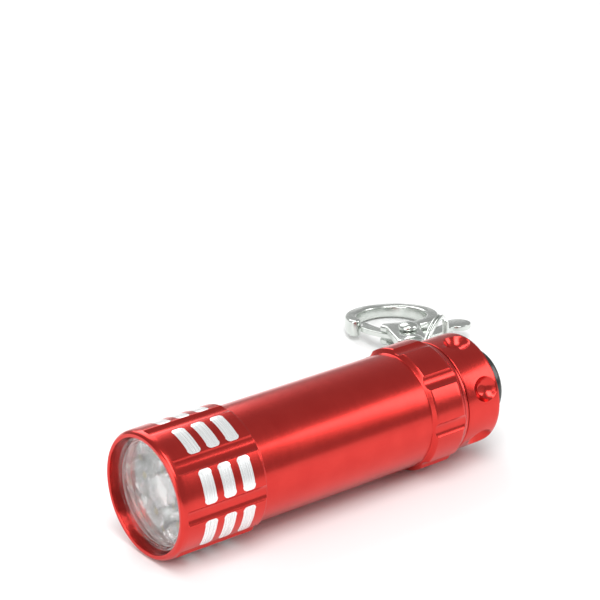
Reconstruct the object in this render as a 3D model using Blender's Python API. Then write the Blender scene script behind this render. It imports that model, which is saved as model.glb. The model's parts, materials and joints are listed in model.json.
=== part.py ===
"""Aluminium keychain flashlight: LED head, push-button tail cap, split ring, swivel eye and lobster clasp.

Metres, +X from the lens to the tail, +Z up. The origin is the centre of the lens's outer face, and the
flashlight lies on two of its head's and collar's lands. Along the axis, sizes are given as distances
from the front rim, and LENS_FACE turns them into X.
"""

import math

import bmesh
import bpy
from mathutils import Matrix, Vector

MM = 0.001

# Driving dimensions along the axis, from the front rim.
LENS_FACE = 1.6 * MM
HEAD_END = 17.2 * MM
COLLAR_START = 52.7 * MM
TUBE_END = 60.9 * MM
CAP_START = 61.2 * MM
CAP_END = 68.4 * MM
SPIGOT_START = 54.0 * MM
DIMPLE_PLACE = 65.4 * MM
BUTTON_REACH = 72.6 * MM

# Driving radii.
HEAD_R = 11.0 * MM
BARREL_R = 10.15 * MM
CAP_R = 9.95 * MM
RECESS_R = 9.85 * MM
CHAMBER_R = 8.7 * MM
THREAD_R = 9.0 * MM
SPIGOT_R = 8.8 * MM
BUTTON_BORE_R = 6.7 * MM
BUTTON_R = 6.35 * MM

# Grip flutes on the head and on the tail collar.
FLUTES = 8
FLUTE_HALF_ANGLE = math.radians(7.0)
FLUTE_DEPTH = 0.55 * MM

# Light engine.
LEDS = 6
LED_PITCH_R = 6.0 * MM
LED_R = 2.5 * MM

# Power.
CELLS = 4
CELL_R = 5.8 * MM
CELL_THICK = 5.4 * MM
CELL_GAP = 0.15 * MM
CELL_START = 17.8 * MM

# Tail cap: six dimples, and a hole that runs from one dimple to the next for the ring.
DIMPLES = 6
DIMPLE_FIRST_ANGLE = math.radians(-22.5)
DIMPLE_R = 2.5 * MM
DIMPLE_FLOOR_R = 0.9 * MM
DIMPLE_DEPTH = 1.35 * MM
RING_HOLE_R = 1.3 * MM
RING_HOLE_OUT = 8.25 * MM
RING_HOLE_ANGLE = DIMPLE_FIRST_ANGLE + math.pi / DIMPLES

# Split ring, which swings about the line of its hole.
RING_R = 7.0 * MM
RING_WIRE_R = 0.6 * MM
RING_CENTRE_OUT = 6.6 * MM
RING_SWING = math.radians(60.0)
EYE_ANGLE = math.radians(-67.0)

# Swivel eye and clasp, along their own axis from the point where the eye bears on the ring.
CLASP_HEADING = math.radians(62.2)
CLASP_DROP = math.radians(6.3)
EYE_ROLL = math.radians(44.5)
EYE_BAR = -1.95 * MM
EYE_STRAP_R = 0.75 * MM
EYE_HALF_WIDTH = 2.95 * MM
COLLAR_LOW = 13.4 * MM
COLLAR_TOP = 15.6 * MM
CLASP_START = 15.9 * MM
HOOK_PLACE = 20.3 * MM
HOOK_R = 9.2 * MM
HOOK_BORE_R = 6.8 * MM
HOOK_BED = 14.0 * MM
STEM_HALF_WIDTH = 3.1 * MM
CLASP_HALF_THICK = 2.5 * MM
CLASP_TIP_HALF_THICK = 1.1 * MM
GATE_PIVOT = Vector((7.5 * MM, -0.5 * MM, 0.0))
GATE_HALF_THICK = 0.5 * MM
SLOT_HALF_THICK = 0.9 * MM

FINE = 48
MEDIUM = 32
COARSE = 20

MATERIALS = {
    "anodised_red": ((0.62, 0.025, 0.03, 1.0), 0.28, 1.0),
    "chrome": ((0.82, 0.83, 0.82, 1.0), 0.08, 1.0),
    "clear_acrylic": ((0.92, 0.95, 0.96, 1.0), 0.04, 0.0),
    "reflector_silver": ((0.75, 0.76, 0.77, 1.0), 0.15, 1.0),
    "led_epoxy": ((0.9, 0.92, 0.9, 1.0), 0.08, 0.0),
    "board_green": ((0.03, 0.16, 0.08, 1.0), 0.45, 0.0),
    "black_rubber": ((0.012, 0.016, 0.015, 1.0), 0.35, 0.0),
    "black_plastic": ((0.02, 0.02, 0.022, 1.0), 0.5, 0.0),
    "spring_steel": ((0.6, 0.6, 0.6, 1.0), 0.25, 1.0),
    "cell_steel": ((0.7, 0.7, 0.68, 1.0), 0.3, 1.0),
    "brass": ((0.75, 0.55, 0.22, 1.0), 0.3, 1.0),
}


def clear_scene():
    for obj in list(bpy.data.objects):
        bpy.data.objects.remove(obj)


def make_material(name, colour, roughness, metallic):
    material = bpy.data.materials.new(name)
    material.use_nodes = True
    shader = material.node_tree.nodes["Principled BSDF"]
    shader.inputs["Base Color"].default_value = colour
    shader.inputs["Roughness"].default_value = roughness
    shader.inputs["Metallic"].default_value = metallic
    return material


def add_object(name, data, material, parent=None):
    obj = bpy.data.objects.new(name, data)
    bpy.context.scene.collection.objects.link(obj)
    obj.parent = parent
    data.materials.append(bpy.data.materials[material])
    return obj


def add_mesh(name, bm, material, parent=None):
    """Links bm as a smooth-shaded object with sharp edges kept."""
    bmesh.ops.recalc_face_normals(bm, faces=bm.faces)
    mesh = bpy.data.meshes.new(name)
    bm.to_mesh(mesh)
    bm.free()
    mesh.shade_smooth()
    mesh.set_sharp_from_angle(angle=math.radians(35))
    return add_object(name, mesh, material, parent)


def make_helper(obj):
    """A cutter, or a shape that a Boolean joins to another, isn't a part itself."""
    obj.hide_render = True
    obj.display_type = "WIRE"
    return obj


def boolean(obj, other, operation="DIFFERENCE"):
    modifier = obj.modifiers.new(other.name, "BOOLEAN")
    modifier.operation = operation
    modifier.solver = "EXACT"
    modifier.object = make_helper(other)


def turned(bm, profile, segments, place=None):
    """Spins the (x, radius) profile about X. It closes through the axis if both its ends are on it."""
    verts = [bm.verts.new((x, 0, r)) for x, r in profile]
    edges = [bm.edges.new(pair) for pair in zip(verts, verts[1:])]
    if profile[0][1] > 0:
        edges.append(bm.edges.new((verts[-1], verts[0])))
    before = set(bm.verts) - set(verts)
    bmesh.ops.spin(
        bm, geom=verts + edges, cent=(0, 0, 0), axis=(1, 0, 0), angle=math.tau, steps=segments
    )
    made = [v for v in bm.verts if v not in before]
    bmesh.ops.remove_doubles(bm, verts=made, dist=1e-7)
    made = [v for v in bm.verts if v not in before]
    if place:
        bmesh.ops.transform(bm, matrix=place, verts=made)


def add_turned(name, profile, material, parent=None, segments=MEDIUM, place=None):
    """A turned piece whose profile is measured from the front rim when it has no parent."""
    bm = bmesh.new()
    turned(bm, profile, segments, place or Matrix.Translation((-LENS_FACE, 0, 0)))
    return add_mesh(name, bm, material, parent)


def add_cylinders(name, rods, segments):
    """One helper of separate cones or cylinders: each rod is (matrix, length, start radius, end radius)."""
    bm = bmesh.new()
    for place, length, r_start, r_end in rods:
        profile = [(0, 0), (0, r_start), (length, r_end), (length, 0)]
        turned(bm, profile, segments, place)
    return make_helper(add_mesh(name, bm, "black_plastic"))


def around(angle):
    """Turns a shape that is drawn out along +Y to this angle about X, from +Y towards +Z."""
    return Matrix.Rotation(angle, 4, "X")


def add_extruded(name, outline, half_thick, material, parent, half_thick_at_tip=None, tip=1.0):
    """A flat outline in local X and Y, thickened along Z, and thinner towards X = tip if asked."""
    slope = 0 if half_thick_at_tip is None else (half_thick_at_tip - half_thick) / tip
    bm = bmesh.new()
    low = [bm.verts.new((x, y, -(half_thick + slope * x))) for x, y in outline]
    high = [bm.verts.new((x, y, half_thick + slope * x)) for x, y in outline]
    bm.faces.new(low)
    bm.faces.new(high)
    for i in range(len(outline)):
        j = (i + 1) % len(outline)
        bm.faces.new((low[i], low[j], high[j], high[i]))
    return add_mesh(name, bm, material, parent)


def add_wire(name, points, radius, material, parent=None, sides=2, cyclic=False):
    """A round wire along the points, with filled ends."""
    curve = bpy.data.curves.new(name, "CURVE")
    curve.dimensions = "3D"
    curve.bevel_depth = radius
    curve.bevel_resolution = sides
    curve.use_fill_caps = True
    spline = curve.splines.new("POLY")
    spline.points.add(len(points) - 1)
    for point, where in zip(spline.points, points):
        point.co = (*where, 1.0)
    spline.use_cyclic_u = cyclic
    return add_object(name, curve, material, parent)


def coil(start, end, radius, turns, steps_per_turn=12):
    """Points of a helix about X from start to end."""
    count = int(turns * steps_per_turn)
    points = []
    for i in range(count + 1):
        share = i / count
        angle = math.tau * turns * share
        x = start + (end - start) * share - LENS_FACE
        points.append((x, radius * math.cos(angle), radius * math.sin(angle)))
    return points


def arc(centre, radius, first, last, steps):
    """Points on a circle in local X and Y, with angles in degrees from +X towards +Y."""
    points = []
    for i in range(steps + 1):
        angle = math.radians(first + (last - first) * i / steps)
        points.append((centre[0] + radius * math.cos(angle), centre[1] + radius * math.sin(angle)))
    return points


def add_body_tube():
    inner_front = 12.5 * MM
    thread_start = 53.0 * MM
    lip = 0.85 * MM
    profile = [
        (0, RECESS_R),
        (inner_front, RECESS_R),
        (inner_front, CHAMBER_R),
        (thread_start, CHAMBER_R),
        (thread_start, THREAD_R),
        (TUBE_END, THREAD_R),
        (TUBE_END, HEAD_R - 1.0 * MM),
        (TUBE_END - 0.5 * MM, HEAD_R - 0.95 * MM),
        (TUBE_END - 1.7 * MM, HEAD_R),
        (COLLAR_START + 0.5 * MM, HEAD_R),
        (COLLAR_START, BARREL_R),
        (HEAD_END, BARREL_R),
        (HEAD_END - 0.6 * MM, BARREL_R + lip),
        (1.2 * MM, HEAD_R),
        (0.35 * MM, HEAD_R - 0.15 * MM),
        (0, HEAD_R - 0.5 * MM),
    ]
    tube = add_turned("body_tube", profile, "anodised_red", segments=FINE)
    # A flute is a slice off a round cutter, as deep and as wide as its two driving values say.
    floor_r = HEAD_R - FLUTE_DEPTH
    half_width = HEAD_R * math.sin(FLUTE_HALF_ANGLE)
    rise = HEAD_R * math.cos(FLUTE_HALF_ANGLE) - floor_r
    cutter_r = (rise**2 + half_width**2) / (2 * rise)
    spans = ((1.0 * MM, HEAD_END + 0.8 * MM), (COLLAR_START - 0.5 * MM, TUBE_END + 0.5 * MM))
    rods = []
    for start, end in spans:
        for i in range(FLUTES):
            offset = Matrix.Translation((start - LENS_FACE, floor_r + cutter_r, 0))
            place = around(i * math.tau / FLUTES) @ offset
            rods.append((place, end - start, cutter_r, cutter_r))
    boolean(tube, add_cylinders("flute_cutters", rods, 16))


def add_light_engine():
    lens_back = LENS_FACE + 1.2 * MM
    lens_r = 9.55 * MM
    lens = [(LENS_FACE, 0), (LENS_FACE, lens_r), (lens_back, lens_r), (lens_back, 0)]
    add_turned("lens", lens, "clear_acrylic", segments=FINE)
    seal_front = 3.1 * MM
    seal_back = 3.7 * MM
    seal = [(seal_front, 9.0 * MM), (seal_back, 9.0 * MM), (seal_back, lens_r), (seal_front, lens_r)]
    add_turned("lens_seal", seal, "black_rubber")
    add_reflector()
    for i in range(LEDS):
        add_led(i)
    board = [(11.7 * MM, 0), (11.7 * MM, 9.5 * MM), (12.2 * MM, 9.5 * MM), (12.2 * MM, 0)]
    add_turned("led_board", board, "board_green")


def led_place(i, distance):
    """Where LED i stands, with its axis along X."""
    return around(i * math.tau / LEDS) @ Matrix.Translation((distance - LENS_FACE, LED_PITCH_R, 0))


def add_reflector():
    front = 4.0 * MM
    back = 10.5 * MM
    radius = 9.5 * MM
    plate = [(front, 0), (front, radius), (back, radius), (back, 0)]
    reflector = add_turned("reflector", plate, "reflector_silver")
    over = 0.3 * MM
    length = back - front + 2 * over
    rods = [(led_place(i, front - over), length, 2.93 * MM, 2.75 * MM) for i in range(LEDS)]
    boolean(reflector, add_cylinders("cup_cutters", rods, COARSE))


def add_led(i):
    flange_front = 4.6 * MM
    flange_back = 5.2 * MM
    flange_r = 2.75 * MM
    profile = [(0, 0)]
    for step in range(1, 4):
        angle = math.pi / 2 * step / 3
        profile.append((LED_R * (1 - math.cos(angle)), LED_R * math.sin(angle)))
    profile += [(flange_front, LED_R), (flange_front, flange_r), (flange_back, flange_r), (flange_back, 0)]
    place = led_place(i, 6.2 * MM)
    add_turned(f"led_{i + 1}", profile, "led_epoxy", segments=12, place=place)


def add_power():
    add_wire("front_spring", coil(12.6 * MM, 17.3 * MM, 3.0 * MM, 2.5), 0.28 * MM, "spring_steel", sides=0)
    sleeve_start = 17.5 * MM
    sleeve_end = 40.2 * MM
    sleeve = [
        (sleeve_start, 6.1 * MM),
        (sleeve_end, 6.1 * MM),
        (sleeve_end, 8.4 * MM),
        (sleeve_start, 8.4 * MM),
    ]
    add_turned("battery_sleeve", sleeve, "black_plastic")
    edge = 0.4 * MM
    for i in range(CELLS):
        start = CELL_START + i * (CELL_THICK + CELL_GAP)
        end = start + CELL_THICK
        cell = [
            (start, 0),
            (start, CELL_R - 2 * edge),
            (start + edge, CELL_R - edge),
            (start + edge, CELL_R),
            (end - edge, CELL_R),
            (end, CELL_R - edge),
            (end, 0),
        ]
        add_turned(f"cell_{i + 1}", cell, "cell_steel", segments=COARSE)


def add_tail_cap():
    lip = 63.8 * MM
    groove = (59.05 * MM, 60.15 * MM)
    groove_r = 8.1 * MM
    cavity_r = 7.6 * MM
    edge = 0.8 * MM
    profile = [
        (SPIGOT_START, cavity_r),
        (lip, cavity_r),
        (lip, BUTTON_BORE_R),
        (CAP_END, BUTTON_BORE_R),
        (CAP_END, CAP_R - edge),
        (CAP_END - 0.25 * edge, CAP_R - 0.3 * edge),
        (CAP_END - edge, CAP_R),
        (CAP_START + 0.15 * MM, CAP_R),
        (CAP_START, CAP_R - 0.15 * MM),
        (CAP_START, SPIGOT_R),
        (groove[1], SPIGOT_R),
        (groove[1], groove_r),
        (groove[0], groove_r),
        (groove[0], SPIGOT_R),
        (SPIGOT_START, SPIGOT_R),
    ]
    cap = add_turned("tail_cap", profile, "anodised_red", segments=FINE)
    over = 0.6 * MM
    growth = (DIMPLE_R - DIMPLE_FLOOR_R) / DIMPLE_DEPTH
    rods = []
    for i in range(DIMPLES):
        outward = Matrix.Rotation(math.pi / 2, 4, "Z")
        floor_place = Matrix.Translation((DIMPLE_PLACE - LENS_FACE, CAP_R - DIMPLE_DEPTH, 0))
        place = around(DIMPLE_FIRST_ANGLE + i * math.tau / DIMPLES) @ floor_place @ outward
        rods.append((place, DIMPLE_DEPTH + over, DIMPLE_FLOOR_R, DIMPLE_R + growth * over))
    boolean(cap, add_cylinders("dimple_cutters", rods, COARSE))
    half_length = 6.4 * MM
    along_chord = Matrix.Rotation(-math.pi / 2, 4, "Y")
    start = Matrix.Translation((DIMPLE_PLACE - LENS_FACE, RING_HOLE_OUT, -half_length))
    place = around(RING_HOLE_ANGLE) @ start @ along_chord
    boolean(cap, add_cylinders("ring_hole_cutter", [(place, 2 * half_length, RING_HOLE_R, RING_HOLE_R)], 16))
    return cap


def add_cap_insides():
    seal_r = 0.4 * MM
    seal_out = 8.55 * MM
    seal_place = 59.6 * MM
    seal = []
    for i in range(8):
        angle = math.tau * i / 8
        seal.append((seal_place + seal_r * math.cos(angle), seal_out + seal_r * math.sin(angle)))
    add_turned("cap_o_ring", seal, "black_rubber")
    ring = [(54.3 * MM, 5.3 * MM), (55.3 * MM, 5.3 * MM), (55.3 * MM, 7.4 * MM), (54.3 * MM, 7.4 * MM)]
    add_turned("retaining_ring", ring, "brass", segments=COARSE)
    housing_start = 55.6 * MM
    housing_end = 61.2 * MM
    housing_r = 7.4 * MM
    hole_end = 56.0 * MM
    seat = 58.5 * MM
    housing = [
        (housing_start, 0),
        (housing_start, housing_r),
        (housing_end, housing_r),
        (housing_end, 3.2 * MM),
        (seat, 3.2 * MM),
        (seat, 1.7 * MM),
        (hole_end, 1.7 * MM),
        (hole_end, 0),
    ]
    add_turned("switch_housing", housing, "black_plastic", segments=COARSE)
    add_wire("switch_spring", coil(58.8 * MM, 61.0 * MM, 2.4 * MM, 3, 10), 0.22 * MM, "spring_steel", sides=0)
    add_wire("tail_spring", coil(40.4 * MM, 55.2 * MM, 4.5 * MM, 4.5), 0.35 * MM, "spring_steel", sides=0)


def add_button():
    flange_start = 62.9 * MM
    flange_end = 63.7 * MM
    flange_r = 7.2 * MM
    shoulder = BUTTON_REACH - 0.9 * MM
    button = [
        (flange_start, 0),
        (flange_start, flange_r),
        (flange_end, flange_r),
        (flange_end, BUTTON_R),
        (shoulder, BUTTON_R),
        (shoulder + 0.35 * MM, BUTTON_R - 0.2 * MM),
        (shoulder + 0.62 * MM, BUTTON_R - 0.75 * MM),
        (BUTTON_REACH - 0.08 * MM, 3.2 * MM),
        (BUTTON_REACH, 0),
    ]
    add_turned("push_button", button, "black_rubber")
    plunger_start = 57.8 * MM
    plunger_end = 62.75 * MM
    plunger = [(plunger_start, 0), (plunger_start, 1.5 * MM), (plunger_end, 1.5 * MM), (plunger_end, 0)]
    add_turned("switch_plunger", plunger, "brass", segments=12)


def add_empty(name, matrix):
    empty = bpy.data.objects.new(name, None)
    empty.empty_display_size = 5 * MM
    bpy.context.scene.collection.objects.link(empty)
    empty.matrix_world = matrix
    return empty


def ring_frame():
    """Origin on the ring hole's axis, +X towards the ring's centre and +Z along the hole."""
    out = Vector((0, math.cos(RING_HOLE_ANGLE), math.sin(RING_HOLE_ANGLE)))
    along = Vector((0, -math.sin(RING_HOLE_ANGLE), math.cos(RING_HOLE_ANGLE)))
    towards = out * math.cos(RING_SWING) + Vector((1, 0, 0)) * math.sin(RING_SWING)
    across = along.cross(towards)
    origin = out * RING_HOLE_OUT + Vector((DIMPLE_PLACE - LENS_FACE, 0, 0))
    turn = Matrix((towards, across, along)).transposed().to_4x4()
    return Matrix.Translation(origin) @ turn


def add_key_ring(frame):
    """The ring lies in the frame's X and Z, and its wire passes through the hole in the cap."""
    points = []
    steps = 32
    for i in range(steps):
        angle = math.tau * i / steps
        points.append((RING_CENTRE_OUT + RING_R * math.cos(angle), 0, RING_R * math.sin(angle)))
    add_wire("key_ring", points, RING_WIRE_R, "chrome", frame, cyclic=True)


def eye_matrix(ring):
    """Origin where the eye bears on the ring, +X along the clasp and +Y to its gate's side."""
    reach = RING_CENTRE_OUT + RING_R * math.cos(EYE_ANGLE)
    bearing = Vector((reach, 0, RING_R * math.sin(EYE_ANGLE)))
    heading = Matrix.Rotation(CLASP_HEADING, 4, "Z")
    drop = Matrix.Rotation(CLASP_DROP, 4, "Y")
    return Matrix.Translation(ring @ bearing) @ heading @ drop


def add_swivel_eye(frame):
    """A wire bow whose two straps run down the sides of a bored collar."""
    bow_centre = (EYE_BAR + EYE_HALF_WIDTH, 0)
    bow = arc(bow_centre, EYE_HALF_WIDTH, 90, 270, 12)
    left = [(COLLAR_TOP, EYE_HALF_WIDTH)]
    right = [(COLLAR_TOP, -EYE_HALF_WIDTH)]
    points = [(x, y, 0) for x, y in left + bow + right]
    straps = add_wire("bow", points, EYE_STRAP_R, "chrome", frame)
    bow_mesh = bpy.data.meshes.new_from_object(straps)
    bpy.data.objects.remove(straps)
    helper = add_object("bow_shape", bow_mesh, "chrome", frame)
    collar = [
        (COLLAR_LOW, 1.45 * MM),
        (COLLAR_TOP - 0.02 * MM, 1.45 * MM),
        (COLLAR_TOP - 0.02 * MM, 3.0 * MM),
        (COLLAR_LOW, 3.0 * MM),
    ]
    eye = add_turned("swivel_eye", collar, "chrome", frame, COARSE, Matrix.Identity(4))
    boolean(eye, helper, "UNION")


def add_rivet(frame):
    """The rivet rises from the clasp's flange through the collar, and its head turns inside the bow."""
    shank_r = 1.15 * MM
    head_low = COLLAR_LOW - CLASP_START - 0.2 * MM
    rivet = [
        (head_low - 1.5 * MM, 0),
        (head_low - 1.3 * MM, 1.2 * MM),
        (head_low - 0.7 * MM, 1.95 * MM),
        (head_low, 1.95 * MM),
        (head_low, shank_r),
        (-0.05 * MM, shank_r),
        (-0.05 * MM, 0),
    ]
    add_turned("swivel_rivet", rivet, "chrome", frame, 16, Matrix.Identity(4))


def add_clasp_body(frame):
    """One casting: a stem with a lengthwise slot, and a hook that leaves a gap on the gate's side."""
    hook = (HOOK_PLACE, 0)
    bed_angle = math.degrees(math.acos((HOOK_BED - HOOK_PLACE) / HOOK_BORE_R))
    flank_angle = 180 - math.degrees(math.asin(STEM_HALF_WIDTH / HOOK_R))
    nose_angle = 105
    stem_start = 1.2 * MM
    outline = [(stem_start, -STEM_HALF_WIDTH)]
    outline += arc(hook, HOOK_R, -flank_angle, nose_angle, 22)
    outline += arc(hook, HOOK_BORE_R, nose_angle, -bed_angle, 20)
    outline += [
        (HOOK_BED, 2.6 * MM),
        (HOOK_BED - 0.4 * MM, 3.4 * MM),
        (12.2 * MM, 4.1 * MM),
        (11.2 * MM, STEM_HALF_WIDTH),
        (stem_start, STEM_HALF_WIDTH),
    ]
    body = add_extruded(
        "clasp_body", outline, CLASP_HALF_THICK, "chrome", frame, CLASP_TIP_HALF_THICK, HOOK_PLACE + HOOK_R
    )
    bevel = body.modifiers.new("round_edges", "BEVEL")
    bevel.width = 0.4 * MM
    bevel.segments = 1
    flange = [(0, 0), (0, 3.2 * MM), (1.6 * MM, 3.2 * MM), (1.6 * MM, 0)]
    boolean(body, add_turned("flange", flange, "chrome", frame, COARSE, Matrix.Identity(4)), "UNION")
    slot_sides = 10.5 * MM
    slot = [(3.0 * MM, -slot_sides), (15.5 * MM, -slot_sides), (15.5 * MM, 5.5 * MM), (3.0 * MM, 5.5 * MM)]
    boolean(body, add_extruded("slot_cutter", slot, SLOT_HALF_THICK, "chrome", frame))
    place = Matrix.Translation(GATE_PIVOT - Vector((0, 0, 4 * MM))) @ Matrix.Rotation(-math.pi / 2, 4, "Y")
    bore = [(0, 0), (0, 0.95 * MM), (8 * MM, 0.95 * MM), (8 * MM, 0)]
    boolean(body, add_turned("pin_hole_cutter", bore, "chrome", frame, 12, place))


def add_gate(frame):
    """The lever's arm closes the hook's gap from inside, and its thumb tab stands out on the other side."""
    arm = [(9.6, 1.6), (12.5, 4.3), (15.0, 6.2), (17.0, 7.0), (18.0, 5.95), (19.3, 6.0), (19.2, 5.2)]
    arm += [(17.5, 4.6), (13.9, 2.6), (10.4, -1.0), (11.5, -4.5), (13.9, -8.2)]
    arm = [(x * MM, y * MM) for x, y in arm]
    tab = arc((15.0 * MM, -12.1 * MM), 2.5 * MM, 40, -210, 8)
    heel = [(8.8 * MM, -6.4 * MM)] + arc((GATE_PIVOT.x, GATE_PIVOT.y), 2.1 * MM, -120, -270, 5)
    outline = [(x - GATE_PIVOT.x, y - GATE_PIVOT.y) for x, y in arm + tab + heel]
    gate = add_extruded("gate", outline, GATE_HALF_THICK, "chrome", frame)
    place = Matrix.Translation((0, 0, -2 * MM)) @ Matrix.Rotation(-math.pi / 2, 4, "Y")
    bore = [(0, 0), (0, 0.95 * MM), (4 * MM, 0.95 * MM), (4 * MM, 0)]
    boolean(gate, add_turned("gate_bore_cutter", bore, "chrome", frame, 12, place))


def add_gate_hardware(frame):
    """A domed pin through the stem, and the small return spring in the slot's foot."""
    pin = [
        (-2.2 * MM, 0),
        (-2.2 * MM, 0.8 * MM),
        (2.35 * MM, 0.8 * MM),
        (2.35 * MM, 1.95 * MM),
        (2.9 * MM, 1.9 * MM),
        (3.5 * MM, 1.3 * MM),
        (3.75 * MM, 0),
    ]
    place = Matrix.Rotation(-math.pi / 2, 4, "Y")
    add_turned("gate_pin", pin, "chrome", frame, 16, Matrix.Translation(GATE_PIVOT) @ place)
    points = []
    for i in range(33):
        angle = math.tau * i / 8
        across = (i / 32 - 0.5) * 4.0 * MM
        points.append((4.1 * MM + 0.5 * MM * math.cos(angle), across, 0.5 * MM * math.sin(angle)))
    add_wire("gate_spring", points, 0.14 * MM, "spring_steel", frame, sides=0)


clear_scene()
for material_name, values in MATERIALS.items():
    make_material(material_name, *values)
add_body_tube()
add_light_engine()
add_power()
add_tail_cap()
add_cap_insides()
add_button()
ring_matrix = ring_frame()
add_key_ring(add_empty("key_ring_axis", ring_matrix))
eye_place = eye_matrix(ring_matrix)
bow_place = eye_place @ Matrix.Rotation(EYE_ROLL, 4, "X")
add_swivel_eye(add_empty("swivel_eye_axis", bow_place))
clasp_place = eye_place @ Matrix.Translation((CLASP_START, 0, 0))
clasp_axis = add_empty("clasp_axis", clasp_place)
add_rivet(clasp_axis)
add_clasp_body(clasp_axis)
add_gate_hardware(clasp_axis)
add_gate(add_empty("gate_axis", clasp_place @ Matrix.Translation(GATE_PIVOT)))
bpy.context.view_layer.update()
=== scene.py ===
"""Looks of the keychain flashlight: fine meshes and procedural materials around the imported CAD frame."""

import json
import math

import bmesh
import bpy
from mathutils import Matrix, Vector

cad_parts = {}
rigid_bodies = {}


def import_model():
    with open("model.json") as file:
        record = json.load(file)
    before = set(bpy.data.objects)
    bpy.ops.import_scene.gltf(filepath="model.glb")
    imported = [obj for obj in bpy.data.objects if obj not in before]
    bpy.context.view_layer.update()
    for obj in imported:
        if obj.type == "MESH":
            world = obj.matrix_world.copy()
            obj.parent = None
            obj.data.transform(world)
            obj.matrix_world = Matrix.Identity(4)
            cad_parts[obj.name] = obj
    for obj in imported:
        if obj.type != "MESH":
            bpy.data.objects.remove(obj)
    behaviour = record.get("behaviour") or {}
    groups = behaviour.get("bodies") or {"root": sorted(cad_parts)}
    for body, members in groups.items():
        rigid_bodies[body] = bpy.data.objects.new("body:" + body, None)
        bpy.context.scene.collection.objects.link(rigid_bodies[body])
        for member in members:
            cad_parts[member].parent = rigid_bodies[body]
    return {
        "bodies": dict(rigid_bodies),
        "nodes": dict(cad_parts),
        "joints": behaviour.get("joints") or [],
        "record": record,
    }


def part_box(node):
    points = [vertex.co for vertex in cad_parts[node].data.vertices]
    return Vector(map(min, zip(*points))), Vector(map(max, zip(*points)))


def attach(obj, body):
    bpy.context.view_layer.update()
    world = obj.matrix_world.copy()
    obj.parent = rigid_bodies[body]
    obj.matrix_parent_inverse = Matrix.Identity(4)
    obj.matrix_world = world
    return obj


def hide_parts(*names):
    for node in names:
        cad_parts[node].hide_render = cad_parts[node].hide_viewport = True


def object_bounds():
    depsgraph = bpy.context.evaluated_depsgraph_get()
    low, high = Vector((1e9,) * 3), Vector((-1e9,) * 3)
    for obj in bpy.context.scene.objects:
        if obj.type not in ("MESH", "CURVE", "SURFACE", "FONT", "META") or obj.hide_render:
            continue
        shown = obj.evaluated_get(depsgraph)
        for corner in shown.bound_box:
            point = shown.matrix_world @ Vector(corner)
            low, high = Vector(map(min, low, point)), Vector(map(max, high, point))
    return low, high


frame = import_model()
cad_low, cad_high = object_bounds()

MM = 0.001
JOINTS = {joint["name"]: joint for joint in frame["joints"]}

# The flashlight's own measures, from the frame.
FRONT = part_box("body_tube")[0].x
TUBE_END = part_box("body_tube")[1].x
CAP_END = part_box("tail_cap")[1].x
SEAM = TUBE_END + 0.3 * MM
HEAD_R = 11.0 * MM
BARREL_R = 10.15 * MM
CAP_R = 9.95 * MM
RECESS_R = 9.85 * MM
HEAD_LENGTH = 17.2 * MM
COLLAR_LENGTH = TUBE_END - FRONT - 52.7 * MM

FLUTES = 8
FLUTE_PITCH = math.tau / FLUTES
FLUTE_HALF_ANGLE = math.radians(7.0)
FLUTE_DEPTH = 0.55 * MM
FLUTE_EDGE = 0.05 * MM
FLUTE_RUN_IN = 0.3 * MM

# Where the tube's outline turns, in millimetres from its front, and how close its rows are there.
FINE_SPANS = ((0.7, 1.5), (16.3, 17.5), (52.4, 53.6), (59.0, 60.9))
FINE_STEP = 0.06 * MM
COARSE_STEPS = 24

BAR_CENTRES = (5.7 * MM, 9.45 * MM, 13.25 * MM)
BAR_WIDTH = 2.5 * MM
BAR_HALF_ANGLE = math.radians(15.1)
BAR_CORNER = 0.75 * MM
BAR_PROUD = 0.012 * MM
BAR_SINK = 0.1 * MM
BAR_SLICES = 12

DIMPLES = 6
DIMPLE_FIRST_ANGLE = math.radians(-22.5)
DIMPLE_PLACE = 65.4 * MM + FRONT


# ---------------------------------------------------------------- materials


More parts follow.
